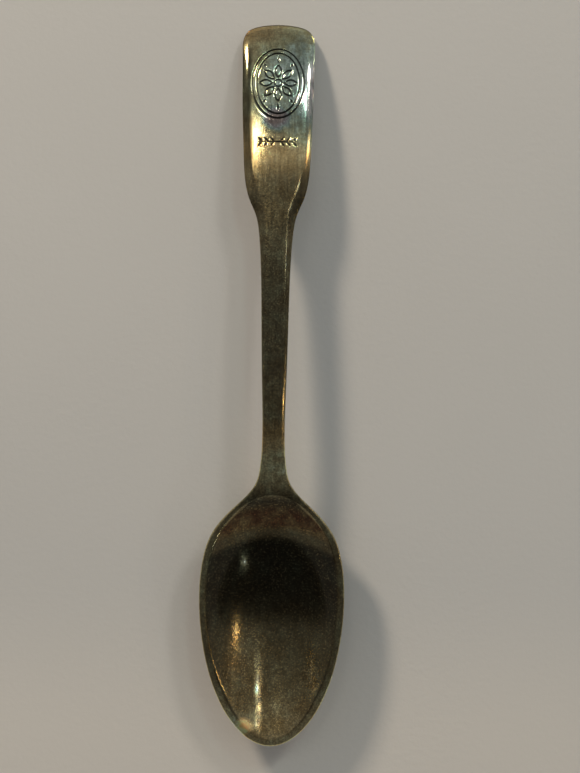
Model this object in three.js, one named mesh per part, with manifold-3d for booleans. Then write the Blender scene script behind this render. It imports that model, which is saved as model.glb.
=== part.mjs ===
// Souvenir spoon: one struck, bent and plated blank, kept as the four regions that a spoon maker
// names. Each region is its own closed solid, and neighbours meet on one shared flat section.
//
// Millimetres, +Z up. The spoon lies on a table with its bowl open upwards and the table at z = 0.
// It runs along Y, with the bowl's tip at -Y and the end of the handle at +Y. Distances along the
// spoon are called s and are counted from the bowl's tip.

import * as THREE from "three";
import { mergeVertices } from "three/addons/utils/BufferGeometryUtils.js";
import Module from "manifold-3d";

const wasm = await Module();
wasm.setup();

// ---------------------------------------------------------------- driving dimensions

const LENGTH = 120;
const NECK_START = 43; // the bowl ends here
const STEM_START = 52;
const PLATE_START = 85.5;

// Half width of the outline, [s, half width]: egg-shaped bowl, slim neck and stem, stepped
// shoulders, and a fiddle plate with a shallow domed end.
const HALF_WIDTHS = [
  [0, 0], [1.2, 3.55], [3.5, 6.0], [7, 8.25], [14, 10.7], [24, 11.9], [31, 11.3], [35, 9.9],
  [38, 7.6], [40.5, 5.0], [42.5, 3.25], [45, 2.3], [50, 1.85], [60, 2.0], [72, 2.25], [80, 2.5],
  [84.5, 2.85], [87.5, 3.5], [90, 4.55], [92.5, 5.15], [98, 5.55], [106, 5.85], [115, 6.0],
  [117.4, 5.85], [118.6, 5.25], [119.4, 4.05], [120, 0.3],
];

// Height of the upper side along the middle, [s, z]: level rim, rising neck, long falling handle
// with its end turned down to the table.
const TOP_LINE = [
  [0, 6.6], [12, 7.05], [24, 7.2], [34, 7.3], [38, 7.45], [41, 7.8], [44, 8.35], [48, 9.0],
  [54, 9.35], [62, 9.1], [72, 8.55], [82, 7.85], [92, 6.95], [102, 5.85], [109, 4.7], [114, 3.4],
  [117.5, 2.05], [120, 0.92],
];

// Metal thickness along the middle of the handle and at the edges all round, [s, thickness]. The
// middle thickness fades out under the bowl, whose back has its own curve.
const MIDDLE_THICKNESS = [[0, 0.9], [18, 0.9], [30, 0.9], [38, 2.2], [44, 2.6], [50, 2.4], [60, 2.0],
  [75, 1.75], [86, 1.55], [95, 1.35], [110, 1.2], [120, 1.0]];
const EDGE_THICKNESS = [[0, 0.9], [24, 0.95], [43, 1.0], [60, 1.0], [85, 0.9], [110, 0.8], [120, 0.7]];

// Chamfer along every upper edge, [s, size], and the slight roundness of the handle's upper side.
const CHAMFER_WIDTH = [[0, 0.8], [10, 1.0], [36, 1.0], [44, 0.8], [55, 0.65], [80, 0.7], [86, 1.0],
  [89.5, 1.45], [94, 1.1], [100, 0.9], [120, 0.85]];
const CHAMFER_DROP = [[0, 0.2], [24, 0.25], [40, 0.3], [50, 0.4], [80, 0.42], [89, 0.6], [96, 0.4],
  [112, 0.35], [120, 0.3]];
const CHAMFER_BLEND = 0.15; // how far the chamfer's inner corner is rounded, as a share of its width
const CROWN = [[0, 0], [44, 0], [60, 0.05], [85, 0.08], [95, 0.22], [120, 0.25]];
const CROWN_WIDEST = 115; // beyond here the roundness follows the nose instead of the sides

// Hollow of the bowl.
const HOLLOW_START = 0.9;
const HOLLOW_END = 41.2;
const HOLLOW_HALF_WIDTH = 11.1;
const HOLLOW_DEPTH = 6.0;
const HOLLOW_EGG = 1.06; // 0 is an ellipse, and more moves the widest place towards the neck
const HOLLOW_BLEND = 0.05; // rounding of the hollow's edge, as a share of its depth
const BOWL_MIDDLE = 24; // the widest and deepest place
const WORN_FLAT = 0.1; // metal worn off the lowest place of the bowl, which leaves a small flat

// Heel: the ridge that carries the neck's thickness into the back of the bowl.
const HEEL_END = 44.5;
const HEEL_BLEND = 0.5;
const RIDGE_BLEND = 1;
const BOWL_BACK_END = 52;

// Struck ornament on the handle plate: an oval medallion with a flower and two fans of leaves, and
// a spray of paired leaves on a level stem below it.
const GROOVE_WIDTH = 0.36;
const GROOVE_DEPTH = 0.16;
const MEDALLION = { s: 109.3, across: 4.3, along: 6.0, border: 0.75 };
const FLOWER = { petals: 8, hub: 0.6, start: 0.95, reach: 3.15, petalWidth: 1.05 };
const FAN = { rays: [-0.62, 0, 0.62], start: 3.45, lengths: [0.75, 1.35, 0.75], width: 0.5 };
const SPRAY = { s: 99.3, stem: 6.2, stemWidth: 0.3, first: 0.45, pitch: 1.0, pairs: 3 };
const SPRAY_LEAF = { length: 1.1, width: 0.5, tilt: 0.8 };
const NARROWEST = 1e-6; // width and depth of a leaf's pointed ends

// Tarnish of each region: darkest along the stem and in the bowl.
const TARNISH = { bowl: 0x4a4334, neck: 0x5c5744, stem: 0x4b4030, plate: 0x7d7a5c };

// ---------------------------------------------------------------- curves

// Natural cubic spline through [s, value] stations.
function spline(stations) {
  const at = stations.map(([s]) => s);
  const value = stations.map(([, v]) => v);
  const last = at.length - 1;
  const bend = new Array(last + 1).fill(0);
  const carry = new Array(last + 1).fill(0);
  for (let i = 1; i < last; i++) {
    const before = at[i] - at[i - 1];
    const after = at[i + 1] - at[i];
    const turn = (value[i + 1] - value[i]) / after - (value[i] - value[i - 1]) / before;
    const pivot = 2 * (before + after) - before * carry[i - 1];
    carry[i] = after / pivot;
    bend[i] = (6 * turn - before * bend[i - 1]) / pivot;
  }
  for (let i = last - 1; i > 0; i--) bend[i] -= carry[i] * bend[i + 1];

  return (s) => {
    const x = THREE.MathUtils.clamp(s, at[0], at[last]);
    let i = 0;
    while (i < last - 1 && x > at[i + 1]) i++;
    const span = at[i + 1] - at[i];
    const b = (x - at[i]) / span;
    const a = 1 - b;
    const curve = (a ** 3 - a) * bend[i] + (b ** 3 - b) * bend[i + 1];
    return a * value[i] + b * value[i + 1] + (curve * span * span) / 6;
  };
}

// Evenly spaced values, both ends included.
const steps = (from, to, count) =>
  Array.from({ length: count + 1 }, (_, i) => from + ((to - from) * i) / count);

// max(value, 0) with its corner rounded over `radius`.
const soften = (value, radius) => (value + Math.hypot(value, radius)) / 2;

// The smaller of two heights, with the corner between them rounded over `radius`.
const softMin = (a, b, radius) => (a + b - Math.hypot(a - b, radius)) / 2;

// The square of the half width is what is splined, so both ends of the outline are round.
const widthSquared = spline(HALF_WIDTHS.map(([s, half]) => [s, half * half]));
const halfWidth = (s) => Math.sqrt(Math.max(widthSquared(s), 0));
const topLine = spline(TOP_LINE);
const middleThickness = spline(MIDDLE_THICKNESS);
const edgeThickness = spline(EDGE_THICKNESS);
const chamferWidth = spline(CHAMFER_WIDTH);
const chamferDrop = spline(CHAMFER_DROP);
const crown = spline(CROWN);

// ---------------------------------------------------------------- upper and lower sides

const OUTLINE_STEPS = 480;
const outline = Array.from({ length: OUTLINE_STEPS + 1 }, (_, i) => {
  const s = (LENGTH * (1 - Math.cos((Math.PI * i) / OUTLINE_STEPS))) / 2;
  return new THREE.Vector2(halfWidth(s), s);
});

// Distance from a point of the plan to the nearest place on the outline.
function edgeDistance(x, s) {
  const point = new THREE.Vector2(Math.abs(x), s);
  const along = new THREE.Vector2();
  const reach = new THREE.Vector2();
  let nearest = Infinity;
  for (let i = 0; i < OUTLINE_STEPS; i++) {
    along.subVectors(outline[i + 1], outline[i]);
    reach.subVectors(point, outline[i]);
    const t = THREE.MathUtils.clamp(reach.dot(along) / along.lengthSq(), 0, 1);
    nearest = Math.min(nearest, reach.addScaledVector(along, -t).length());
  }
  return nearest;
}

// How deep a place lies in the hollow: 1 at the middle of the bowl, 0 on its edge, less outside.
const eggSquared = (t) => t * (1 - t) * (1 + HOLLOW_EGG * t);
const eggWidest = eggSquared((BOWL_MIDDLE - HOLLOW_START) / (HOLLOW_END - HOLLOW_START));
function hollowShare(x, s) {
  const t = (s - HOLLOW_START) / (HOLLOW_END - HOLLOW_START);
  return eggSquared(t) / eggWidest - (x / HOLLOW_HALF_WIDTH) ** 2;
}

function topHeight(x, s) {
  const edge = edgeDistance(x, s);
  const inwards = Math.min(edge / halfWidth(Math.min(s, CROWN_WIDEST)) || 0, 1);
  const fall = crown(s) * (1 - inwards) ** 2;
  const chamfer = chamferDrop(s) * soften(1 - edge / chamferWidth(s), CHAMFER_BLEND);
  const hollow = HOLLOW_DEPTH * soften(hollowShare(x, s), HOLLOW_BLEND);
  return topLine(s) - fall - chamfer - hollow;
}

const bowlBackDepth = topLine(BOWL_MIDDLE) - edgeThickness(BOWL_MIDDLE) + WORN_FLAT;
function bottomHeight(x, s) {
  const edge = topLine(s) - edgeThickness(s);
  const bowlShare = 1 - THREE.MathUtils.smoothstep(s, HEEL_END, BOWL_BACK_END);
  const bulge = (widthSquared(s) - x * x) / widthSquared(BOWL_MIDDLE);
  const bowlBack = edge - bowlBackDepth * bulge * bowlShare;
  const ridgeHalf = halfWidth(HEEL_END + soften(s - HEEL_END, RIDGE_BLEND));
  const ridgeDepth = Math.max(middleThickness(s) - edgeThickness(s), 0);
  const ridge = edge - ridgeDepth * (1 - (x / ridgeHalf) ** 2);
  return Math.max(softMin(bowlBack, ridge, HEEL_BLEND * bowlShare), 0);
}

// ---------------------------------------------------------------- solids

const SAME_PLACE = 1e-4; // corners closer together than this are one corner

// A closed solid from rings of points, each ring with as many points as the next. The first and
// last rings shrink to a point or are the same ring, unless `flatEnds` says that they are flat
// sections to be closed, with the upper side listed from left to right and the lower one back.
function ringSolid(rings, flatEnds = false) {
  const positions = [];
  const faces = [];
  const count = rings[0].length;
  rings.flat().forEach((p) => positions.push(p.x, p.y, p.z));
  for (let r = 0; r < rings.length - 1; r++) {
    for (let i = 0; i < count; i++) {
      const j = (i + 1) % count;
      const [a, b] = [r * count + i, r * count + j];
      faces.push([a, b, b + count], [a, b + count, a + count]);
    }
  }
  if (flatEnds) {
    const end = (rings.length - 1) * count;
    for (let i = 0; i < count / 2 - 1; i++) {
      const [a, b, c, d] = [i, i + 1, count - 2 - i, count - 1 - i];
      faces.push([a, c, b], [a, d, c], [end + a, end + b, end + c], [end + a, end + c, end + d]);
    }
  }
  const loose = new THREE.BufferGeometry();
  loose.setAttribute("position", new THREE.Float32BufferAttribute(positions, 3));
  loose.setIndex(faces.flat());
  const merged = mergeVertices(loose, SAME_PLACE);
  const index = merged.index.array;
  const kept = [];
  for (let i = 0; i < index.length; i += 3) {
    const [a, b, c] = index.slice(i, i + 3);
    if (a !== b && b !== c && a !== c) kept.push(a, b, c);
  }
  merged.setIndex(kept);
  return merged;
}

const onTop = (x, s) => new THREE.Vector3(x, s - LENGTH / 2, topHeight(x, s));
const onBottom = (x, s) => new THREE.Vector3(x, s - LENGTH / 2, bottomHeight(x, s));

// Places across a section, from the left edge to the right: close together over the chamfers.
const CHAMFER_STEPS = [0, 0.5, 1, 1.5];
const CHAMFER_SHARE = 0.55; // the most of the half width that a chamfer may take
const MIDDLE_STEPS = 6;
function across(s) {
  const half = halfWidth(s);
  const chamfer = Math.min(chamferWidth(s), half * CHAMFER_SHARE);
  const inset = CHAMFER_STEPS.map((step) => step * chamfer);
  const inner = half - inset[inset.length - 1];
  const right = inset.map((step) => half - step);
  const middle = steps(inner, -inner, MIDDLE_STEPS).slice(1, -1);
  return [...right, ...middle, ...right.map((x) => -x).toReversed()].toReversed();
}

// The length from one section to another, lofted through a section at each place in `places`.
function barSolid(places) {
  const rings = places.map((s) => {
    const xs = across(s);
    return [...xs.map((x) => onTop(x, s)), ...xs.map((x) => onBottom(x, s)).toReversed()];
  });
  return ringSolid(rings, true);
}

// The bowl, as rings that grow from its middle to the outline on the upper side and shrink to the
// middle again on the back.
const BOWL_SIDE_STEPS = 34;
const BOWL_TOP_SHARES = [0, 0.35, 0.6, 0.78, 0.86, 0.91, 0.955, 1];
const BOWL_BACK_SHARES = [1, 0.9, 0.75, 0.58, 0.4, 0.2, 0.1, 0];
function bowlSolid() {
  const rightSide = steps(0, 1, BOWL_SIDE_STEPS).slice(1, -1).map((t) => {
    const s = (NECK_START * (1 - Math.cos(Math.PI * t))) / 2;
    return [halfWidth(s), s];
  });
  const plan = [
    ...across(NECK_START).map((x) => [x, NECK_START]), // along the flat section, left to right
    ...rightSide.toReversed(), // down the right side
    [0, 0],
    ...rightSide.map(([x, s]) => [-x, s]), // and up the left side
  ];
  const ring = (share, side) =>
    plan.map(([x, s]) => side(x * share, BOWL_MIDDLE + (s - BOWL_MIDDLE) * share));
  return ringSolid([
    ...BOWL_TOP_SHARES.map((share) => ring(share, onTop)),
    ...BOWL_BACK_SHARES.map((share) => ring(share, onBottom)),
  ]);
}

// ---------------------------------------------------------------- struck ornament

// Points round an ellipse centred on (0, s).
const ellipse = (s, wide, along, count) =>
  steps(0, 2 * Math.PI, count).slice(1).map((angle) => [wide * Math.sin(angle), s + along * Math.cos(angle)]);

// A pointed petal on a ray from (0, s), as a closed line.
function petalLine(s, angle, count) {
  const [dx, ds] = [Math.sin(angle), Math.cos(angle)];
  const side = (t, sign) => {
    const reach = FLOWER.start + (FLOWER.reach - FLOWER.start) * t;
    const bulge = (sign * FLOWER.petalWidth * Math.sin(Math.PI * t)) / 2;
    return [dx * reach + ds * bulge, s + ds * reach - dx * bulge];
  };
  const there = steps(0, 1, count).slice(0, -1).map((t) => side(t, 1));
  const back = steps(1, 0, count).slice(0, -1).map((t) => side(t, -1));
  return [...there, ...back];
}

// One V-shaped section of a groove at (x, s), across the direction (dx, ds).
function grooveSection(x, s, dx, ds, width, depth) {
  const length = Math.hypot(dx, ds);
  const z = topHeight(x, s);
  const corner = (offset, height) =>
    new THREE.Vector3(x + (ds / length) * offset, s - (dx / length) * offset - LENGTH / 2, z + height);
  return [corner(width, depth), corner(0, -depth), corner(-width, depth)];
}

// Cutter for a groove of even width along a closed line.
function lineCutter(line) {
  const rings = line.map(([x, s], i) => {
    const [x0, s0] = line.at(i - 1);
    const [x1, s1] = line[(i + 1) % line.length];
    return grooveSection(x, s, x1 - x0, s1 - s0, GROOVE_WIDTH, GROOVE_DEPTH);
  });
  return ringSolid([...rings, rings[0]]);
}

// Cutter for a single leaf: a straight groove that swells between two points.
function leafCutter(x, s, angle, length, width) {
  const [dx, ds] = [Math.sin(angle), Math.cos(angle)];
  return ringSolid(steps(0, 1, 6).map((t) => {
    const swell = Math.max(Math.sin(Math.PI * t), NARROWEST);
    const reach = length * (t - 0.5);
    const [px, ps] = [x + dx * reach, s + ds * reach];
    return grooveSection(px, ps, dx, ds, width * swell, GROOVE_DEPTH * swell);
  }));
}

function ornamentCutters() {
  const { s, across: wide, along, border } = MEDALLION;
  const lines = [ellipse(s, wide, along, 44), ellipse(s, wide - border, along - border, 40)];
  lines.push(ellipse(s, FLOWER.hub, FLOWER.hub, 10));
  for (let i = 0; i < FLOWER.petals; i++) lines.push(petalLine(s, (2 * Math.PI * i) / FLOWER.petals, 5));

  const leaves = [];
  const leafOn = (x, place, angle, length, width) => {
    const middle = [x + (Math.sin(angle) * length) / 2, place + (Math.cos(angle) * length) / 2];
    leaves.push([...middle, angle, length, width]);
  };
  for (const end of [0, Math.PI]) {
    FAN.rays.forEach((ray, i) => {
      const angle = end + ray;
      const [x, place] = [Math.sin(angle) * FAN.start, s + Math.cos(angle) * FAN.start];
      leafOn(x, place, angle, FAN.lengths[i], FAN.width);
    });
  }
  leaves.push([0, SPRAY.s, Math.PI / 2, SPRAY.stem, SPRAY.stemWidth]);
  for (let i = 0; i < SPRAY.pairs; i++) {
    const x = SPRAY.first + SPRAY.pitch * i;
    for (const angle of [SPRAY_LEAF.tilt, Math.PI - SPRAY_LEAF.tilt]) {
      leafOn(x, SPRAY.s, angle, SPRAY_LEAF.length, SPRAY_LEAF.width);
      leafOn(-x, SPRAY.s, -angle, SPRAY_LEAF.length, SPRAY_LEAF.width);
    }
  }
  return [...lines.map(lineCutter), ...leaves.map((leaf) => leafCutter(...leaf))];
}

// ---------------------------------------------------------------- joining and cutting

function toManifold(geometry) {
  return new wasm.Manifold(new wasm.Mesh({
    numProp: 3,
    vertProperties: new Float32Array(geometry.attributes.position.array),
    triVerts: new Uint32Array(geometry.index.array),
  }));
}

function fromManifold(solid) {
  const mesh = solid.getMesh();
  const geometry = new THREE.BufferGeometry();
  geometry.setAttribute("position", new THREE.BufferAttribute(mesh.vertProperties, 3));
  geometry.setIndex(new THREE.BufferAttribute(mesh.triVerts, 1));
  return geometry;
}

// ---------------------------------------------------------------- the spoon

// The plate's sections crowd towards its nose, where the outline closes.
const NOSE_START = 115.5;
const nosePlaces = steps(1, 0, 9).slice(1).map((left) => LENGTH - (LENGTH - NOSE_START) * left ** 2);
const plateBlank = barSolid([...steps(PLATE_START, NOSE_START, 22), ...nosePlaces]);
const plate = ornamentCutters().reduce(
  (solid, cutter) => solid.subtract(toManifold(cutter)),
  toManifold(plateBlank),
);

function region(name, geometry, color, roughness) {
  const material = new THREE.MeshStandardMaterial({ color, roughness, metalness: 1 });
  const mesh = new THREE.Mesh(geometry, material);
  mesh.name = name;
  return mesh;
}

const spoon = new THREE.Group();
spoon.add(region("bowl", bowlSolid(), TARNISH.bowl, 0.28));
spoon.add(region("neck", barSolid(steps(NECK_START, STEM_START, 9)), TARNISH.neck, 0.35));
spoon.add(region("stem", barSolid(steps(STEM_START, PLATE_START, 12)), TARNISH.stem, 0.35));
spoon.add(region("handle_plate", fromManifold(plate), TARNISH.plate, 0.32));

export default spoon;
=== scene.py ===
"""Souvenir spoon: the fine metal surface, its tarnish, and the studio round it.

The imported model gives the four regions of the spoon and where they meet. Each gets a closed fine
skin here, made from the same curves as the CAD model, with rounded edges and the struck ornament.

Shapes are worked out in millimetres, as x across the spoon, s along it from the bowl's tip, and z
above the table. Blender's objects are in metres.
"""

import math

import bpy
import numpy as np
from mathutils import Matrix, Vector


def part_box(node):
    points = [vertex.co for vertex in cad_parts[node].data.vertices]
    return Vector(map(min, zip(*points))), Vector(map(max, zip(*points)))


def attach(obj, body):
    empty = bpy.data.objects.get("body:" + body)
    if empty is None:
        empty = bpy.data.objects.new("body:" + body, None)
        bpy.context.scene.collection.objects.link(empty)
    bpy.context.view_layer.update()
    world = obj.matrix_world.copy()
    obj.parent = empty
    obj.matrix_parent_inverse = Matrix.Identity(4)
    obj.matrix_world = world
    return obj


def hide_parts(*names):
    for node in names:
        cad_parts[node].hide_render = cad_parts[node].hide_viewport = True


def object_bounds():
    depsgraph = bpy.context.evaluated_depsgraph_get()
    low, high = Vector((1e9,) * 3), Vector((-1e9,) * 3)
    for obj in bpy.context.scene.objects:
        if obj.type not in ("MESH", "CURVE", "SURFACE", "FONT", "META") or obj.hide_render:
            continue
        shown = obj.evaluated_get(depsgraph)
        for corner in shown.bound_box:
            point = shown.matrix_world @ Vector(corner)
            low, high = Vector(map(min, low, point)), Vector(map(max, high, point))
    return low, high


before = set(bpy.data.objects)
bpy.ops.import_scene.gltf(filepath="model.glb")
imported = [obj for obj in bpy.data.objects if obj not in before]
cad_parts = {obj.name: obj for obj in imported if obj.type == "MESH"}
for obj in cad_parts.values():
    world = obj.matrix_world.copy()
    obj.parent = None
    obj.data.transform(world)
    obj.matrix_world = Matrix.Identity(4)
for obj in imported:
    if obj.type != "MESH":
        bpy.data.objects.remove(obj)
cad_low, cad_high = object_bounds()

MM = 0.001
TIP_Y = cad_low.y  # the bowl's tip, where s is 0


def place_along(y):
    """Distance along the spoon, in millimetres, of a place in the frame."""
    return (y - TIP_Y) / MM


LENGTH = place_along(cad_high.y)
NECK_START = place_along(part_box("neck")[0].y)
STEM_START = place_along(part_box("stem")[0].y)
PLATE_START = place_along(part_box("handle_plate")[0].y)

# ------------------------------------------------------------------ the spoon's curves

# Half width of the outline along the spoon, as (s, half width).
HALF_WIDTHS = [
    (0, 0), (1.2, 3.55), (3.5, 6.0), (7, 8.25), (14, 10.7), (24, 11.9), (31, 11.3), (35, 9.9),
    (38, 7.6), (40.5, 5.0), (42.5, 3.25), (45, 2.3), (50, 1.85), (60, 2.0), (72, 2.25), (80, 2.5),
    (84.5, 2.85), (87.5, 3.5), (90, 4.55), (92.5, 5.15), (98, 5.55), (106, 5.85), (115, 6.0),
    (117.4, 5.85), (118.6, 5.25), (119.4, 4.05), (120, 0.3),
]

# Height of the upper side along the middle.
TOP_LINE = [
    (0, 6.6), (12, 7.05), (24, 7.2), (34, 7.3), (38, 7.45), (41, 7.8), (44, 8.35), (48, 9.0),
    (54, 9.35), (62, 9.1), (72, 8.55), (82, 7.85), (92, 6.95), (102, 5.85), (109, 4.7),
    (114, 3.4), (117.5, 2.05), (120, 0.92),
]

# Metal thickness along the middle of the handle, and at the edges all round.
MIDDLE_THICKNESS = [
    (0, 0.9), (18, 0.9), (30, 0.9), (38, 2.2), (44, 2.6), (50, 2.4), (60, 2.0), (75, 1.75),
    (86, 1.55), (95, 1.35), (110, 1.2), (120, 1.0),
]
EDGE_THICKNESS = [(0, 0.9), (24, 0.95), (43, 1.0), (60, 1.0), (85, 0.9), (110, 0.8), (120, 0.7)]

# Chamfer along every upper edge, and the slight roundness of the handle's upper side.
CHAMFER_WIDTH = [
    (0, 0.8), (10, 1.0), (36, 1.0), (44, 0.8), (55, 0.65), (80, 0.7), (86, 1.0), (89.5, 1.45),
    (94, 1.1), (100, 0.9), (120, 0.85),
]
CHAMFER_DROP = [
    (0, 0.2), (24, 0.25), (40, 0.3), (50, 0.4), (80, 0.42), (89, 0.6), (96, 0.4), (112, 0.35),
    (120, 0.3),
]
CHAMFER_BLEND = 0.45  # rounding of the chamfer's inner corner, as a share of its width
CROWN = [(0, 0), (44, 0), (60, 0.05), (85, 0.08), (95, 0.22), (120, 0.25)]
CROWN_WIDEST = 115  # beyond here the roundness follows the nose instead of the sides

HOLLOW_START = 0.9
HOLLOW_END = 41.2
HOLLOW_HALF_WIDTH = 11.1
HOLLOW_DEPTH = 6.0
HOLLOW_EGG = 1.06  # 0 is an ellipse, and more moves the widest place towards the neck
HOLLOW_BLEND = 0.05  # rounding of the hollow's edge, as a share of its depth
BOWL_MIDDLE = 24  # the widest and deepest place
WORN_FLAT = 0.1  # metal worn off the lowest place of the bowl

# Heel: the ridge that carries the neck's thickness into the back of the bowl.
HEEL_END = 44.5
HEEL_BLEND = 0.5
RIDGE_BLEND = 1
BOWL_BACK_END = 52

TINY = 1e-6  # keeps a division away from 0 at the very tip
RIM_RADIUS = 0.2  # rounding of the struck edges
RIM_SHARE = 0.42  # the most of an edge's height that one rounding may take


def spline(stations):
    """Natural cubic spline through (s, value) stations."""
    at, value = np.array(stations, float).T
    count = len(at)
    span = np.diff(at)
    slope = np.diff(value) / span
    system = np.eye(count)
    turn = np.zeros(count)
    for i in range(1, count - 1):
        system[i, i - 1:i + 2] = span[i - 1], 2 * (span[i - 1] + span[i]), span[i]
        turn[i] = 6 * (slope[i] - slope[i - 1])
    bend = np.linalg.solve(system, turn)

    def curve(s):
        x = np.clip(s, at[0], at[-1])
        i = np.clip(np.searchsorted(at, x, side="right") - 1, 0, count - 2)
        b = (x - at[i]) / span[i]
        a = 1 - b
        bent = (a ** 3 - a) * bend[i] + (b ** 3 - b) * bend[i + 1]
        return a * value[i] + b * value[i + 1] + bent * span[i] ** 2 / 6

    return curve


width_squared = spline([(s, half * half) for s, half in HALF_WIDTHS])
top_line = spline(TOP_LINE)
middle_thickness = spline(MIDDLE_THICKNESS)
edge_thickness = spline(EDGE_THICKNESS)
chamfer_width = spline(CHAMFER_WIDTH)
chamfer_drop = spline(CHAMFER_DROP)
crown = spline(CROWN)


def half_width(s):
    return np.sqrt(np.maximum(width_squared(s), 0))


def soften(value, radius):
    """max(value, 0) with its corner rounded over `radius`."""
    return (value + np.hypot(value, radius)) / 2


def soft_min(a, b, radius):
    """min(a, b) with its corner rounded over `radius`."""
    return (a + b - np.hypot(a - b, radius)) / 2


def smoothstep(value, low, high):
    t = np.clip((value - low) / (high - low), 0, 1)
    return t * t * (3 - 2 * t)


def line_distance(x, s, line, closed=False):
    """Distance in plan from each point (x, s) to a line of points."""
    start = np.array(line if closed else line[:-1], float)
    end = np.array(list(line[1:]) + [line[0]] if closed else line[1:], float)
    along = end - start
    squared = (along ** 2).sum(1)
    nearest = np.empty(x.size)
    points = np.stack([x.ravel(), s.ravel()], 1)
    chunk = 4096  # points at a time, which keeps the arrays small
    for first in range(0, len(points), chunk):
        reach = points[first:first + chunk, None] - start
        t = np.clip((reach * along).sum(2) / squared, 0, 1)
        away = reach - t[..., None] * along
        nearest[first:first + chunk] = np.sqrt((away ** 2).sum(2).min(1))
    return nearest.reshape(x.shape)


OUTLINE_STEPS = 480
outline_s = LENGTH * (1 - np.cos(np.linspace(0, np.pi, OUTLINE_STEPS + 1))) / 2
OUTLINE = np.stack([half_width(outline_s), outline_s], 1)


def edge_distance(x, s):
    return line_distance(np.abs(x), s, OUTLINE)


# ------------------------------------------------------------------ upper and lower sides


def egg_squared(t):
    return t * (1 - t) * (1 + HOLLOW_EGG * t)


def hollow_place(s):
    return (s - HOLLOW_START) / (HOLLOW_END - HOLLOW_START)


def hollow_share(x, s):
    """Depth of the bowl's hollow as a share of its deepest, and below 0 outside it."""
    widest = egg_squared(hollow_place(BOWL_MIDDLE))
    return egg_squared(hollow_place(s)) / widest - (x / HOLLOW_HALF_WIDTH) ** 2


def rim_drop(s, edge):
    """How far a side falls back towards the other one, `edge` mm in from the outline."""
    radius = np.minimum(RIM_RADIUS, RIM_SHARE * (edge_thickness(s) - chamfer_drop(s)))
    left = radius - np.minimum(edge, radius)
    return radius - np.sqrt(np.maximum(radius ** 2 - left ** 2, 0))


def top_height(x, s, edge):
    half = np.maximum(half_width(np.minimum(s, CROWN_WIDEST)), TINY)
    inwards = np.minimum(edge / half, 1)
    fall = crown(s) * (1 - inwards) ** 2
    chamfer = chamfer_drop(s) * soften(1 - edge / chamfer_width(s), CHAMFER_BLEND)
    hollow = HOLLOW_DEPTH * soften(hollow_share(x, s), HOLLOW_BLEND)
    return top_line(s) - fall - chamfer - hollow - rim_drop(s, edge)


def bottom_height(x, s, edge):
    side = top_line(s) - edge_thickness(s)
    bowl_share = 1 - smoothstep(s, HEEL_END, BOWL_BACK_END)
    bulge = (width_squared(s) - x * x) / width_squared(BOWL_MIDDLE)
    depth = top_line(BOWL_MIDDLE) - edge_thickness(BOWL_MIDDLE) + WORN_FLAT
    bowl_back = side - depth * bulge * bowl_share
    ridge_half = half_width(HEEL_END + soften(s - HEEL_END, RIDGE_BLEND))
    ridge_depth = np.maximum(middle_thickness(s) - edge_thickness(s), 0)
    ridge = side - ridge_depth * (1 - (x / ridge_half) ** 2)
    height = np.maximum(soft_min(bowl_back, ridge, HEEL_BLEND * bowl_share), 0)
    return height + rim_drop(s, edge)


# ------------------------------------------------------------------ struck ornament

GROOVE_HALF_WIDTH = 0.19
GROOVE_DEPTH = 0.16
LIP_HEIGHT = 0.01  # metal pushed up beside a groove
LIP_PLACE = 1.55  # both in half widths of the groove
LIP_WIDTH = 0.45
DARK_FADE = (0.5, 1.05)  # where the painted shade in a groove thins out, in half widths too
MEDALLION_S = 109.3
MEDALLION_ACROSS = 4.3
MEDALLION_ALONG = 6.0
BORDER = 0.75
PETALS = 8
HUB = 0.6
PETAL_START = 0.95
PETAL_REACH = 3.15
PETAL_WIDTH = 1.05
FAN_START = 3.45
FAN_LEAVES = [(-0.62, 0.75), (0, 1.35), (0.62, 0.75)]  # angle and length
FAN_LEAF_WIDTH = 0.5
LEAF_POINT = 0.04  # half width that a leaf keeps at its pointed ends
SPRAY_S = 99.3
SPRAY_STEM = 6.2
SPRAY_STEM_WIDTH = 0.3
SPRAY_PLACES = [0.45, 1.45, 2.45]  # where its leaves grow, to each side of its middle
SPRAY_LEAF_LENGTH = 1.1
SPRAY_LEAF_WIDTH = 0.44
SPRAY_LEAF_TILT = 0.8
OVAL_POINTS = 120
HUB_POINTS = 32
PETAL_POINTS = 14  # along each side of a petal
UNTOUCHED = 9.0  # nearness far from every stroke


def ellipse(s, wide, along, count):
    angle = np.linspace(0, 2 * np.pi, count, endpoint=False)
    return np.stack([wide * np.sin(angle), s + along * np.cos(angle)], 1)


def petal(s, angle):
    """A pointed petal on a ray from (0, s), as a closed line."""
    t = np.concatenate([np.linspace(0, 1, PETAL_POINTS, endpoint=False)] * 2)
    t[PETAL_POINTS:] = 1 - t[PETAL_POINTS:]
    side = np.repeat([1, -1], PETAL_POINTS)
    reach = PETAL_START + (PETAL_REACH - PETAL_START) * t
    bulge = side * PETAL_WIDTH * np.sin(np.pi * t) / 2
    dx, ds = math.sin(angle), math.cos(angle)
    return np.stack([dx * reach + ds * bulge, s + ds * reach - dx * bulge], 1)


def leaf_nearness(x, s, start, angle, length, width):
    """Distance to a pointed leaf's middle line, in units of its half width there."""
    dx, ds = math.sin(angle), math.cos(angle)
    along = (x - start[0]) * dx + (s - start[1]) * ds
    off = (x - start[0]) * ds - (s - start[1]) * dx
    t = np.clip(along / length, 0, 1)
    half = np.maximum(width / 2 * np.sin(np.pi * t), LEAF_POINT)
    return np.hypot(off, along - t * length) / half


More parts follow.
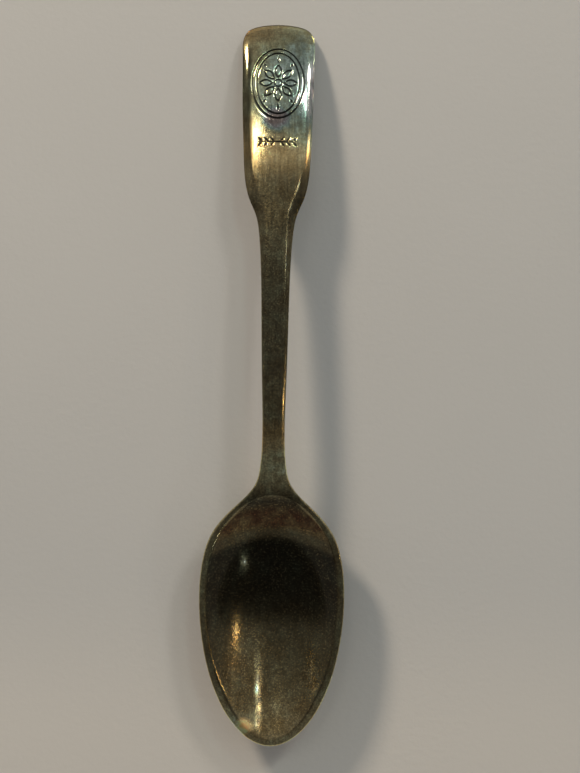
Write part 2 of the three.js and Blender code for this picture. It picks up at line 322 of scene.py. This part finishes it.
def ornament_strokes(x, s):
    """Nearness of every stroke of the ornament: 0 on its middle line, 1 at its edge."""
    lines = [
        ellipse(MEDALLION_S, MEDALLION_ACROSS - inset, MEDALLION_ALONG - inset, OVAL_POINTS)
        for inset in (0, BORDER)
    ]
    lines.append(ellipse(MEDALLION_S, HUB, HUB, HUB_POINTS))
    lines += [petal(MEDALLION_S, 2 * math.pi * i / PETALS) for i in range(PETALS)]
    for line in lines:
        yield line_distance(x, s, line, closed=True) / GROOVE_HALF_WIDTH

    for end in (0, math.pi):
        for ray, length in FAN_LEAVES:
            angle = end + ray
            start = (math.sin(angle) * FAN_START, MEDALLION_S + math.cos(angle) * FAN_START)
            yield leaf_nearness(x, s, start, angle, length, FAN_LEAF_WIDTH)

    stem_start = (-SPRAY_STEM / 2, SPRAY_S)
    yield leaf_nearness(x, s, stem_start, math.pi / 2, SPRAY_STEM, SPRAY_STEM_WIDTH)
    for place in SPRAY_PLACES:
        for angle in (SPRAY_LEAF_TILT, math.pi - SPRAY_LEAF_TILT):
            for side in (1, -1):
                yield leaf_nearness(x, s, (side * place, SPRAY_S), side * angle,
                                    SPRAY_LEAF_LENGTH, SPRAY_LEAF_WIDTH)


def ornament(x, s):
    """Height that the ornament adds, and the painted shade of its grooves, from 0 to 1."""
    nearness = np.full(x.shape, UNTOUCHED)
    for stroke in ornament_strokes(x, s):
        nearness = np.minimum(nearness, stroke)
    groove = np.cos(np.pi / 2 * np.minimum(nearness, 1)) ** 2
    lip = LIP_HEIGHT * np.exp(-((nearness - LIP_PLACE) / LIP_WIDTH) ** 2)
    dark = 1 - smoothstep(nearness, *DARK_FADE)
    return lip - GROOVE_DEPTH * groove, dark


# ------------------------------------------------------------------ skins

RIM_STEPS = 6
EDGE_BAND = 1.8  # the band along every edge that gets the closest points
EDGE_BAND_SHARE = 0.6  # the most of a half width that the band may take
EDGE_STEP = 0.1
rim_angles = np.linspace(np.pi / 2, 0, RIM_STEPS + 1)
rim_insets = RIM_RADIUS * (1 - np.sin(rim_angles))
band_insets = np.arange(RIM_RADIUS + EDGE_STEP, EDGE_BAND, EDGE_STEP)
INSETS = np.concatenate([rim_insets, band_insets])  # distances of the points in from the edge


def columns(s, middle_count):
    """Places across a section from left to right: closest together along the edges."""
    half = float(half_width(s))
    insets = INSETS * min(1, EDGE_BAND_SHARE * half / EDGE_BAND)
    middle = np.linspace(-half + insets[-1], half - insets[-1], middle_count + 2)[1:-1]
    return np.concatenate([insets - half, middle, (half - insets)[::-1]])


def ring_faces(rows, count):
    """Point numbers of `rows` closed rings, the next point round each, and the faces between."""
    index = np.arange(rows * count).reshape(rows, count)
    after = np.roll(index, -1, 1)
    quads = np.stack([index[:-1], after[:-1], after[1:], index[1:]], -1)
    return index, after, quads.reshape(-1, 4)


def new_piece(name, points, faces, flat_faces, edge, groove):
    """A closed mesh piece in metres that rides on the spoon and stands for its CAD node."""
    mesh = bpy.data.meshes.new(name)
    placed = points * MM
    placed[:, 1] += TIP_Y
    mesh.from_pydata(placed.tolist(), [], faces + flat_faces)
    smooth = np.ones(len(faces) + len(flat_faces), bool)
    smooth[len(faces):] = False
    mesh.polygons.foreach_set("use_smooth", smooth)
    # the groove attribute holds the painted shade of the struck lines
    for label, values in (("edge_distance", edge), ("groove", groove)):
        mesh.attributes.new(label, "FLOAT", "POINT").data.foreach_set("value", values)
    flat_edges = {key for face in mesh.polygons if not face.use_smooth for key in face.edge_keys}
    sharp = [mesh_edge.key in flat_edges for mesh_edge in mesh.edges]
    mesh.edges.foreach_set("use_edge_sharp", sharp)
    mesh.update()
    piece = bpy.data.objects.new(name + "_skin", mesh)
    bpy.context.scene.collection.objects.link(piece)
    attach(piece, "root")
    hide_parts(name)
    return piece


def side_points(x, s, upper, ornamented=False):
    """Points of one side of the spoon, with their edge distance and the painted shade of its
    grooves.
    """
    edge = edge_distance(x, s)
    groove = np.zeros(x.shape)
    height = top_height(x, s, edge) if upper else bottom_height(x, s, edge)
    if ornamented:
        relief, groove = ornament(x, s)
        height = height + relief
    return np.stack([x, s, height], -1), edge, groove


def bar_skin(name, places, top_middle, bottom_middle, ornamented=False):
    """The length of the spoon between the first and last of `places`, with a flat end at each."""
    top_x = np.array([columns(s, top_middle) for s in places])
    bottom_x = np.array([columns(s, bottom_middle)[::-1] for s in places])
    top_s = np.repeat(places[:, None], top_x.shape[1], 1)
    bottom_s = np.repeat(places[:, None], bottom_x.shape[1], 1)
    top = side_points(top_x, top_s, True, ornamented)
    bottom = side_points(bottom_x, bottom_s, False)
    points, edge, groove = (np.concatenate(pair, 1) for pair in zip(top, bottom))
    index, _, quads = ring_faces(*edge.shape)
    ends = [index[0][::-1].tolist(), index[-1].tolist()]
    return new_piece(
        name, points.reshape(-1, 3), quads.tolist(), ends, edge.ravel(), groove.ravel(),
    )


BOWL_SIDE_POINTS = 170
BOWL_TOP_RINGS = 64
BOWL_BACK_RINGS = 40
SEAM_MIDDLE = 22  # points across the middle of the sections where two skins meet
PLATE_TOP_MIDDLE = 104  # points across the middle of the plate's ornamented side
PLATE_BACK_MIDDLE = 30
NARROWEST_CUT = 0.35  # least sine of a ray's angle to the outline that the insets allow for


def bowl_plan():
    """The bowl's outline in plan, clockwise from the left end of its flat section, and how many
    of its points are on that section.
    """
    seam_x = columns(NECK_START, SEAM_MIDDLE)
    seam = np.stack([seam_x, np.full(len(seam_x), NECK_START)], 1)
    turn = np.linspace(0, np.pi, BOWL_SIDE_POINTS + 1)[1:-1]
    s = NECK_START * (1 - np.cos(turn)) / 2
    right = np.stack([half_width(s), s], 1)
    tip = [[0, 0]]
    return np.concatenate([seam, right[::-1], tip, right * [-1, 1]]), len(seam)


def bowl_skin():
    """The bowl, in rings that shrink from its outline to its middle on both sides."""
    plan, seam_count = bowl_plan()
    middle = np.array([0, BOWL_MIDDLE])
    ray = plan - middle
    length = np.hypot(*ray.T)
    tangent = np.roll(plan, -1, 0) - np.roll(plan, 1, 0)
    cut = np.abs(ray[:, 0] * tangent[:, 1] - ray[:, 1] * tangent[:, 0])
    cut /= length * np.hypot(*tangent.T)
    cut[:seam_count] = 1
    cut = np.maximum(cut, NARROWEST_CUT)
    band = 1 - INSETS[:, None] / (cut * length)
    sides = []
    for upper, rings in ((True, BOWL_TOP_RINGS), (False, BOWL_BACK_RINGS)):
        inner = band[-1] * np.linspace(1, 0, rings + 1)[1:-1, None]
        share = np.concatenate([band, inner])
        if upper:
            share = share[::-1]
        sides.append(side_points(ray[:, 0] * share, BOWL_MIDDLE + ray[:, 1] * share, upper))
    points, edge, groove = (np.concatenate(pair) for pair in zip(*sides))
    rows, count = edge.shape
    index, after, quads = ring_faces(rows, count)

    # The two middles, and the flat section at the neck, which is part of the row of faces that
    # joins the upper side to the lower one.
    centre = np.zeros(1), np.full(1, float(BOWL_MIDDLE))
    poles = [side_points(*centre, upper)[0][0] for upper in (True, False)]
    top_pole, bottom_pole = rows * count, rows * count + 1
    fans = [[top_pole, b, a] for a, b in zip(index[0], after[0])]
    fans += [[bottom_pole, a, b] for a, b in zip(index[-1], after[-1])]
    wall_row = len(sides[0][1]) - 1
    is_seam_wall = np.zeros(len(quads), bool)
    is_seam_wall[wall_row * count:wall_row * count + seam_count - 1] = True
    smooth = quads[~is_seam_wall].tolist() + fans
    flat = quads[is_seam_wall].tolist()
    return new_piece(
        "bowl", np.concatenate([points.reshape(-1, 3), poles]), smooth, flat,
        np.append(edge.ravel(), [EDGE_BAND] * 2), np.append(groove.ravel(), [0, 0]),
    )


NOSE_START = 117.0
NOSE_ROWS = 70
ORNAMENT_START = 97.3
ORNAMENT_END = 116.0
ORNAMENT_STEP = 0.08
PLAIN_STEP = 0.2


def rows_between(start, end, step):
    """Evenly spaced places from `start` up to, but without, `end`."""
    return np.linspace(start, end, math.ceil((end - start) / step), endpoint=False)


def plate_places():
    """Rows of the handle plate: close together over the ornament and towards the nose."""
    nose = np.linspace(1, 0, NOSE_ROWS) ** 2
    return np.concatenate([
        rows_between(PLATE_START, ORNAMENT_START, PLAIN_STEP),
        rows_between(ORNAMENT_START, ORNAMENT_END, ORNAMENT_STEP),
        rows_between(ORNAMENT_END, NOSE_START, ORNAMENT_STEP * 2),
        LENGTH - (LENGTH - NOSE_START) * nose,
    ])


def make_spoon():
    neck = np.append(rows_between(NECK_START, STEM_START, PLAIN_STEP), STEM_START)
    stem = np.append(rows_between(STEM_START, PLATE_START, PLAIN_STEP), PLATE_START)
    plate = plate_places()
    return [
        bowl_skin(),
        bar_skin("neck", neck, SEAM_MIDDLE, SEAM_MIDDLE),
        bar_skin("stem", stem, SEAM_MIDDLE, SEAM_MIDDLE),
        bar_skin("handle_plate", plate, PLATE_TOP_MIDDLE, PLATE_BACK_MIDDLE, ornamented=True),
    ]


# ------------------------------------------------------------------ node graphs


class Graph:
    """Short calls for the shader nodes used below. Inputs may be sockets or plain values."""

    def __init__(self, tree):
        self.tree = tree
        tree.nodes.clear()

    def node(self, kind, inputs=(), **settings):
        made = self.tree.nodes.new("ShaderNode" + kind)
        for name, value in settings.items():
            setattr(made, name, value)
        for key, value in dict(inputs).items():
            if isinstance(value, bpy.types.NodeSocket):
                self.tree.links.new(value, made.inputs[key])
            elif value is not None:
                made.inputs[key].default_value = value
        return made

    def math(self, operation, a, b=None, c=None):
        return self.node("Math", {0: a, 1: b, 2: c}, operation=operation).outputs[0]

    def scaled(self, value, amount, gain):
        """`value` times 1 + `amount` * `gain`."""
        return self.math("MULTIPLY", value, self.math("MULTIPLY_ADD", amount, gain, 1.0))

    def centred(self, pattern, size):
        """A pattern from 0 to 1, spread over `size` with its middle at 0."""
        return self.math("MULTIPLY_ADD", pattern, size, -size / 2)

    def vector(self, operation, a, b=None, scale=None):
        inputs = {0: a, 1: b, "Scale": scale}
        made = self.node("VectorMath", inputs, operation=operation)
        return made.outputs["Value" if operation == "DOT_PRODUCT" else "Vector"]

    def between(self, value, low, high, start=0.0, end=1.0):
        """`start` where the value is at `low`, easing to `end` at `high`, and level beyond."""
        inputs = {
            "Value": value, "From Min": low, "From Max": high, "To Min": start, "To Max": end,
        }
        return self.node("MapRange", inputs, interpolation_type="SMOOTHSTEP").outputs["Result"]

    def ramp(self, value, stops):
        """Colour through (place, colour or grey) stops."""
        made = self.node("ValToRGB", {"Fac": value})
        elements = made.color_ramp.elements
        for i, (place, color) in enumerate(stops):
            element = elements[i] if i < 2 else elements.new(place)
            element.position = place
            element.color = (*color, 1) if isinstance(color, tuple) else (color, color, color, 1)
        return made.outputs["Color"]

    def noise(self, vector, scale, detail, roughness):
        inputs = {"Vector": vector, "Scale": scale, "Detail": detail, "Roughness": roughness}
        return self.node("TexNoise", inputs).outputs["Fac"]

    def mix(self, factor, a, b, blend="MIX"):
        made = self.node("Mix", data_type="RGBA", blend_type=blend)
        for socket, value in ((made.inputs[0], factor), (made.inputs[6], a), (made.inputs[7], b)):
            if isinstance(value, bpy.types.NodeSocket):
                self.tree.links.new(value, socket)
            elif isinstance(value, tuple):
                socket.default_value = (*value, 1)
            else:
                socket.default_value = value
        return made.outputs[2]


# ------------------------------------------------------------------ tarnished silver plate, with painted light

# Tint of the tarnish along the spoon, as (s, place in TINTS).
TINT_ALONG = [
    (0, 0.24), (16, 0.28), (24, 0.30), (33, 0.34), (34, 0.30), (35.2, 0.28), (36.4, 0.06),
    (38.6, 0.04), (40.5, 0.34), (48, 0.42), (50, 0.24), (52, 0.20), (55, 0.32), (84, 0.34),
    (92, 0.27), (98, 0.20), (101, 0.38), (105, 0.58), (109, 0.62), (114, 0.52), (117, 0.38),
    (120, 0.34),
]
TINTS = [
    (0.0, (0.44, 0.20, 0.08)), (0.14, (0.60, 0.42, 0.18)), (0.3, (0.46, 0.37, 0.19)),
    (0.45, (0.36, 0.35, 0.20)), (0.62, (0.28, 0.35, 0.29)), (0.8, (0.33, 0.32, 0.31)),
    (1.0, (0.37, 0.28, 0.24)),
]
CLOUD_TINT = 0.5  # how far the clouds and the blotches move the tint from end to end
BLOTCH_TINT = 0.3
TIDE_CURVE = 0.025  # the bowl's tide marks bend towards the tip at its sides
PLATE_GOLD_HIGHLIGHT = (92, 102)  # the plate's left side is painted more golden than its right from here on, a painted highlight
PLATE_GOLD_HIGHLIGHT_TINT = 0.03  # for each millimetre across

# How much of its light the plating still reflects along the spoon, as (s, share of FULL): its
# tarnish, and in the bowl a painted dark reflection, darkest in the hollow and ending in a sharp
# arc near s 34.
FULL = 2.4
BRIGHTNESS_ALONG = [
    (0, 0.32), (9, 0.135), (15, 0.09), (20, 0.07), (25, 0.036), (33.6, 0.024), (34.0, 0.085),
    (36, 0.08), (38, 0.06), (40.5, 0.03), (43, 0.46), (45, 0.72), (48, 0.72), (51, 0.36),
    (54, 0.20), (62, 0.09), (70, 0.085), (78, 0.10), (84, 0.15), (90, 0.16), (93, 0.21),
    (97, 0.66), (99.5, 0.60), (102, 0.44), (105, 0.60), (109, 0.95), (113, 0.54), (116, 0.40),
    (120, 0.32),
]
BOWL_END = (38, 43)
BOWL_TILT = -0.008  # how much darker the bowl is with each millimetre to the right
WORN_WIDTH = 0.4  # the bowl's very edge is rubbed brighter
WORN_GAIN = 0.5
GROOVE_PAINTED_SHADE = 0.88  # share of light that painted shade takes from a groove

# The bowl's rim is painted brighter than its hollow, and brightest at the tip: a painted
# reflection.
RIM_BAND = (0.8, 1.3)  # distances from the edge between which the rim fades out
RIM_TIP = (3.0, 14.0)  # places along the spoon between which its tip does
RIM_TIP_BRIGHTNESS = 0.68
RIM_BRIGHTNESS = 0.31
RIM_TINT = 0.34

# Noise patterns, as scale, detail and roughness, and how some of them are stretched along s.
CLOUDS = (0.22, 4.0, 0.6)
BLOTCHES = (0.9, 4.0, 0.65)
GRAINS = (3.2, 3.0, 0.7)
SPECKS = (4.2, 1.0, 0.4)
STREAKS = (1.0, 3.0, 0.6)
STREAK_STRETCH = (2.6, 0.12, 2.6)
SCRATCHES = (1.0, 2.0, 0.55)
SCRATCH_STRETCH = (9.0, 0.5, 9.0)
PLATE_CALM = (88, 96)  # the plate is smoother than the stem from here on
PLATE_GRAINS = 0.4  # share of the grains' contrast that the plate keeps
BOWL_STREAKS = 0.8  # share of the streaks' contrast that the bowl loses
SPECK_EDGE = (0.58, 0.72)
SPECK_CLEAN = 0.12
SWINGS = (1.2, 1.1, 1.8, 1.0)  # for clouds, blotches, grains and streaks, see `swing`

# Edges of the plate with painted shade, darker than its middle, as spans of s and x and the share
# of light lost, and one with a painted highlight, brighter, with a share below 0. All begin
# between the distances of SHADED_BAND from the outline.
SHADED_BAND = (1.9, 1.0)
SHADE_FADE = 4  # over which each fades in and out along the spoon
SHADED_EDGES = [
    ((92, 117), (2, -3), 0.72), ((83, 97), (-2, 2), 0.5), ((104.5, 117), (2, -3), 0.4),
    ((105.5, 112), (-2, 3), 0.45), ((109, 121), (-2, 3), -0.7),
]

# Patches, as (x, s), the half widths across and along, and how far in the edge starts to fade: a
# painted glow, painted highlights and a purple tarnish patch.
# painted glow round the highlights low in the bowl
PAINTED_GLOW = ((-4.2, 15.5), (5.0, 8.5), 0.0)
# painted orange highlight near the tip, which is also rougher
TIP_HIGHLIGHT_SPOT = ((-4.4, 3.3), (1.9, 1.7), 0.1)
# two painted highlights in the bowl, where the lamps' reflections fall
HIGHER_HIGHLIGHT_SPOT = ((-2.3, 8.9), (0.7, 1.6), 0.0)
LOWER_HIGHLIGHT_SPOT = ((-1.8, 6.1), (0.6, 1.0), 0.0)
PURPLE_PATCH = ((-0.3, 103.2), (3.0, 2.6), 0.25)
PATCH_CLOUDINESS = 0.8
PAINTED_GLOW_GAIN = 0.8
# brightness of the two painted highlights in the bowl
HIGHLIGHT_SPOT_GAIN = 0.55
HIGHLIGHT_COOL_TINT = 0.62  # tint of the higher painted highlight
# brightness, tint and roughness of the painted highlight near the tip
TIP_HIGHLIGHT_GAIN = 0.9
TIP_HIGHLIGHT_TINT = 0.0
TIP_ROUGH = 0.22
PURPLE_TINT = 0.95
PURPLE_SHADE = 0.25

ROUGH_LEAST = 0.06
ROUGH_GRAINS = 0.12
ROUGH_BLOTCHES = 0.12
PLATE_GLOSS = 0.4  # share of its roughness that the plate loses
SCRATCH_STRENGTH = 0.05
SCRATCH_HEIGHT = 0.0001
COAT = 0.2
COAT_ROUGHNESS = 0.06


class TarnishAndPaintedLight:
    """The tarnish on the spoon, with the reflection, glow, highlights and shade painted into it,
    worked out from places in millimetres and noise patterns.
    """

    def __init__(self, g):
        self.g = g
        position = g.node("TexCoord").outputs["Object"]
        self.mm = g.vector("MULTIPLY", position, (1 / MM, 1 / MM, 1 / MM))
        axes = g.node("SeparateXYZ", {0: self.mm}).outputs
        self.x = axes["X"]
        self.s = g.math("ADD", axes["Y"], -TIP_Y / MM)
        # painted shade of the grooves, from 0 to 1
        self.groove = g.node("Attribute", attribute_name="groove").outputs["Fac"]
        self.edge = g.node("Attribute", attribute_name="edge_distance").outputs["Fac"]
        self.in_bowl = g.between(self.s, *BOWL_END, 1.0, 0.0)
        self.on_plate = g.between(self.s, *PLATE_CALM)
        self.on_rim = g.math("MULTIPLY", self.in_bowl, g.between(self.edge, *RIM_BAND, 1.0, 0.0))
        bend = g.math("MULTIPLY", g.math("MULTIPLY", self.x, self.x), TIDE_CURVE)
        self.along = g.math("DIVIDE", g.math("MULTIPLY_ADD", bend, self.in_bowl, self.s), LENGTH)

        self.clouds = g.noise(self.mm, *CLOUDS)
        self.blotches = g.noise(self.mm, *BLOTCHES)
        grains = g.noise(self.mm, *GRAINS)
        calm = g.math("MULTIPLY_ADD", grains, PLATE_GRAINS, (1 - PLATE_GRAINS) / 2)
        self.grains = g.mix(self.on_plate, grains, calm)
        self.specks = g.between(g.noise(self.mm, *SPECKS), *SPECK_EDGE)
        streaks = g.noise(g.vector("MULTIPLY", self.mm, STREAK_STRETCH), *STREAKS)
        faded = g.math("MULTIPLY", self.in_bowl, BOWL_STREAKS)
        self.streaks = g.mix(faded, streaks, (0.5,) * 3)
        self.scratches = g.noise(g.vector("MULTIPLY", self.mm, SCRATCH_STRETCH), *SCRATCHES)

        # painted highlight near the tip
        self.tip_highlight = self.patch(self.blotches, *TIP_HIGHLIGHT_SPOT)
        self.purple = self.patch(self.blotches, *PURPLE_PATCH)

    def patch(self, pattern, place, half_sizes, core):
        """How much of a patch covers each point, from 0 to 1, with a cloudy edge."""
        g = self.g
        x = g.math("DIVIDE", g.math("SUBTRACT", self.x, place[0]), half_sizes[0])
        s = g.math("DIVIDE", g.math("SUBTRACT", self.s, place[1]), half_sizes[1])
        distance = g.math("SQRT", g.math("MULTIPLY_ADD", x, x, g.math("MULTIPLY", s, s)))
        distance = g.math("ADD", distance, g.centred(pattern, PATCH_CLOUDINESS))
        return g.between(distance, core, 1.0, 1.0, 0.0)

    def swing(self, pattern, octaves):
        """A factor that a noise pattern halves or doubles `octaves` times at its ends."""
        return self.g.math("POWER", 2.0, self.g.centred(pattern, 2 * octaves))

    def color(self):
        """Tint of what is reflected: along the spoon, in clouds, and by patches, the painted
        highlights among them.
        """
        g = self.g
        tint = g.ramp(self.along, [(s / LENGTH, place) for s, place in TINT_ALONG])
        tint = g.mix(self.on_rim, tint, (RIM_TINT,) * 3)
        tint = g.math("ADD", tint, g.centred(self.clouds, CLOUD_TINT))
        tint = g.math("ADD", tint, g.centred(self.blotches, BLOTCH_TINT))
        # painted highlight: the plate's left side more golden
        gold_highlight = g.math("MULTIPLY", self.x, g.between(self.s, *PLATE_GOLD_HIGHLIGHT, 0.0, PLATE_GOLD_HIGHLIGHT_TINT))
        tint = g.math("ADD", tint, gold_highlight)
        # painted highlights: the higher one tinted cool, the one near the tip orange
        higher_highlight = self.patch(self.grains, *HIGHER_HIGHLIGHT_SPOT)
        for covered, place in (
            (self.purple, PURPLE_TINT), (self.tip_highlight, TIP_HIGHLIGHT_TINT), (higher_highlight, HIGHLIGHT_COOL_TINT),
        ):
            tint = g.mix(covered, tint, (place,) * 3)
        return g.ramp(tint, TINTS)

    def clean(self):
        """How much light is reflected: along the spoon, in patterns, by patches and by edges, with
        the painted reflection, glow, highlights and shade among them.
        """
        g = self.g
        # tarnish along the spoon, with the painted dark reflection in the bowl's hollow
        clean = g.ramp(self.along, [(s / LENGTH, share) for s, share in BRIGHTNESS_ALONG])
        # painted reflection: the rim brighter than the hollow, most at the tip
        rim_brightness = g.between(self.s, *RIM_TIP, RIM_TIP_BRIGHTNESS, RIM_BRIGHTNESS)
        clean = g.mix(self.on_rim, clean, rim_brightness)
        patterns = (self.clouds, self.blotches, self.grains, self.streaks)
        for pattern, octaves in zip(patterns, SWINGS):
            clean = g.math("MULTIPLY", clean, self.swing(pattern, octaves))
        clean = g.scaled(clean, g.math("MULTIPLY", self.x, self.in_bowl), BOWL_TILT)
        clean = g.math("MULTIPLY_ADD", self.specks, SPECK_CLEAN, clean)
        # painted glow low in the bowl
        clean = g.scaled(clean, self.patch(self.clouds, *PAINTED_GLOW), PAINTED_GLOW_GAIN)
        # painted highlight near the tip
        clean = g.math("MULTIPLY_ADD", self.tip_highlight, TIP_HIGHLIGHT_GAIN, clean)
        # painted highlights in the bowl
        for place in (HIGHER_HIGHLIGHT_SPOT, LOWER_HIGHLIGHT_SPOT):
            highlight_spot = self.patch(self.grains, *place)
            clean = g.math("MULTIPLY_ADD", highlight_spot, HIGHLIGHT_SPOT_GAIN, clean)
        clean = g.scaled(clean, self.purple, -PURPLE_SHADE)
        worn = g.math("MULTIPLY_ADD", self.in_bowl, WORN_GAIN, 1.0)
        clean = g.math("MULTIPLY", clean, g.between(self.edge, 0.0, WORN_WIDTH, worn, 1.0))
        # painted shade on the plate's edges, and one painted highlight
        for (start, end), sides, share in SHADED_EDGES:
            shaded = g.between(self.edge, *SHADED_BAND)
            for window in (
                g.between(self.x, *sides),
                g.between(self.s, start, start + SHADE_FADE),
                g.between(self.s, end, end - SHADE_FADE),
            ):
                shaded = g.math("MULTIPLY", shaded, window)
            clean = g.scaled(clean, shaded, -share)
        # painted shade in the grooves
        clean = g.scaled(clean, self.groove, -GROOVE_PAINTED_SHADE)
        return g.math("MULTIPLY", clean, FULL)

    def roughness(self):
        g = self.g
        rough = g.math("MULTIPLY_ADD", self.grains, ROUGH_GRAINS, ROUGH_LEAST)
        rough = g.math("MULTIPLY_ADD", self.blotches, ROUGH_BLOTCHES, rough)
        rough = g.scaled(rough, self.on_plate, -PLATE_GLOSS)
        return g.math("MULTIPLY_ADD", self.tip_highlight, TIP_ROUGH, rough)


def tarnished_plate_and_painted_light():
    material = bpy.data.materials.new("tarnished_silver_plate")
    material.use_nodes = True
    g = Graph(material.node_tree)
    # tarnish, with painted reflection, glow, highlights and shade
    tarnish = TarnishAndPaintedLight(g)
    color = g.vector("SCALE", tarnish.color(), scale=tarnish.clean())
    bump = g.node("Bump", {
        "Strength": SCRATCH_STRENGTH, "Distance": SCRATCH_HEIGHT, "Height": tarnish.scratches,
    })
    surface = g.node("BsdfPrincipled", {
        "Base Color": color, "Metallic": 1.0, "Roughness": tarnish.roughness(),
        "Coat Weight": COAT, "Coat Roughness": COAT_ROUGHNESS, "Normal": bump.outputs["Normal"],
    })
    g.node("OutputMaterial", {"Surface": surface.outputs[0]})
    return material


# ------------------------------------------------------------------ studio

FLOOR_REACH = 3.0  # from the middle to each side, in metres like everything in the studio
FLOOR_TONES = ((0.62, 0.62, 0.61), (0.68, 0.68, 0.67))
FLOOR_CLOUDS = (14.0, 4.0, 0.55)
FLOOR_PAINTED_LIGHT = (-0.062, -0.03)  # y below which the floor is painted paler and warmer, as painted light, and where that ends
FLOOR_PAINTED_LIGHT_TONE = (0.84, 0.80, 0.74)
FLOOR_PAINTED_LIGHT_SHARE = 0.6
FLOOR_ROUGHNESS = 0.8
FLOOR_GRAIN = (900.0, 3.0, 0.55)
FLOOR_GRAIN_STRENGTH = 0.12
FLOOR_GRAIN_HEIGHT = 0.0004


def floor():
    corners = [
        (x * FLOOR_REACH, y * FLOOR_REACH, 0) for x, y in ((-1, -1), (1, -1), (1, 1), (-1, 1))
    ]
    mesh = bpy.data.meshes.new("floor")
    mesh.from_pydata(corners, [], [(0, 1, 2, 3)])
    stage = bpy.data.objects.new("floor", mesh)
    bpy.context.scene.collection.objects.link(stage)
    material = bpy.data.materials.new("pale_floor")
    material.use_nodes = True
    g = Graph(material.node_tree)
    position = g.node("TexCoord").outputs["Object"]
    color = g.mix(g.noise(position, *FLOOR_CLOUDS), *FLOOR_TONES)
    y = g.node("SeparateXYZ", {0: position}).outputs["Y"]
    # painted light: the floor paler and warmer towards the near end
    near = g.between(y, *FLOOR_PAINTED_LIGHT, 1.0, 0.0)
    color = g.mix(g.math("MULTIPLY", near, FLOOR_PAINTED_LIGHT_SHARE), color, FLOOR_PAINTED_LIGHT_TONE)
    grain = g.node("Bump", {
        "Strength": FLOOR_GRAIN_STRENGTH, "Distance": FLOOR_GRAIN_HEIGHT,
        "Height": g.noise(position, *FLOOR_GRAIN),
    })
    surface = g.node("BsdfPrincipled", {
        "Base Color": color, "Roughness": FLOOR_ROUGHNESS, "Normal": grain.outputs["Normal"],
    })
    g.node("OutputMaterial", {"Surface": surface.outputs[0]})
    mesh.materials.append(material)


# The unlit part of the room: a wide band overhead, towards the near end of the table.
DARK_MIDDLE = (0, -0.42, 0.907)
DARK_WIDENING = 0.12  # directions are squeezed this much across, which widens the band
DARK_EDGE = (0.84, 0.90)
DARKEST = 0.3
SKY = [(0.0, (0.50, 0.49, 0.48)), (0.5, (0.42, 0.42, 0.42)), (1.0, (0.39, 0.40, 0.41))]
ROOM_STRENGTH = 0.68


def room_light():
    world = bpy.data.worlds.new("room")
    bpy.context.scene.world = world
    world.use_nodes = True
    g = Graph(world.node_tree)
    direction = g.node("TexCoord").outputs["Generated"]
    height = g.node("SeparateXYZ", {0: direction}).outputs["Z"]
    sky = g.ramp(height, SKY)
    narrowed = g.vector("MULTIPLY", direction, (DARK_WIDENING, 1, 1))
    facing = g.vector("DOT_PRODUCT", g.vector("NORMALIZE", narrowed), DARK_MIDDLE)
    shade = g.between(facing, *DARK_EDGE, 1.0, DARKEST)
    light = g.mix(1.0, sky, shade, "MULTIPLY")
    background = g.node("Background", {"Color": light, "Strength": ROOM_STRENGTH})
    g.node("OutputWorld", {"Surface": background.outputs[0]})


LAMP_DISTANCE = 0.7
WARM = (1.0, 0.84, 0.66)
PALE = (1.0, 0.94, 0.85)
COOL = (0.82, 0.97, 1.0)

# Square lamps that shine at the spoon, as their name, the way towards them in plan, their
# elevation in degrees, their size, power and colour.
LAMPS = [
    ("warm_left", (-0.57, 0.82), 27, 0.10, 2.6, WARM),
    ("pale_right", (0.60, 0.80), 38, 0.10, 0.6, PALE),
    ("ceiling", (-0.48, 0.88), 60, 0.11, 0.05, (1.0, 0.90, 0.70)),
    ("hot_left", (-0.32, 0.95), 60.8, 0.04, 0.06, (1.0, 0.96, 0.82)),
    ("mint_right", (0.41, 0.91), 51, 0.07, 0.17, (0.72, 1.0, 0.90)),
    ("cool_high_right", (0.82, 0.57), 62.5, 0.02, 0.03, COOL),
    ("warm_high_right", (0.73, 0.68), 65, 0.012, 0.016, WARM),
    ("warm_low_right", (1.0, 0.01), 33.5, 0.02, 0.09, (1.0, 0.74, 0.42)),
    ("orange_right", (0.88, 0.48), 40, 0.05, 0.03, (1.0, 0.62, 0.30)),
    ("spark", (0.79, -0.61), 34.5, 0.01, 0.07, COOL),
    ("far_left", (-0.99, 0.11), 26, 0.01, 0.006, (1.0, 0.80, 0.45)),
]


def softbox(name, toward, elevation, size, power, color):
    flat = Vector(toward).normalized() * math.cos(math.radians(elevation))
    direction = Vector((flat.x, flat.y, math.sin(math.radians(elevation))))
    data = bpy.data.lights.new(name, "AREA")
    data.size = size
    data.energy = power
    data.color = color
    lamp = bpy.data.objects.new(name, data)
    lamp.location = direction * LAMP_DISTANCE
    lamp.rotation_euler = direction.to_track_quat("Z", "Y").to_euler()
    bpy.context.scene.collection.objects.link(lamp)


CAMERA_HEIGHT = 0.22  # above the rim
RIM_HEIGHT = 0.006  # of the bowl, roughly
FRAME_HEIGHT = 0.12706  # what the picture shows from top to bottom, at the rim
FRAME_SHIFT = (0.00258, -0.00088)  # the spoon lies a little left of the picture's middle
ROLL = math.radians(0.72)
SENSOR = 36
NEAREST = 0.01  # things closer to the camera than this aren't seen


def camera():
    data = bpy.data.cameras.new("camera")
    data.sensor_width = SENSOR
    data.lens = SENSOR * CAMERA_HEIGHT / FRAME_HEIGHT
    data.clip_start = NEAREST
    seen = bpy.data.objects.new("camera", data)
    seen.location = (*FRAME_SHIFT, RIM_HEIGHT + CAMERA_HEIGHT)
    seen.rotation_euler = (0, 0, ROLL)
    bpy.context.scene.collection.objects.link(seen)
    bpy.context.scene.camera = seen


plate_material = tarnished_plate_and_painted_light()
for skin in make_spoon():
    skin.data.materials.append(plate_material)
floor()
room_light()
for lamp in LAMPS:
    softbox(*lamp)
camera()
bpy.context.scene.view_settings.view_transform = "Standard"
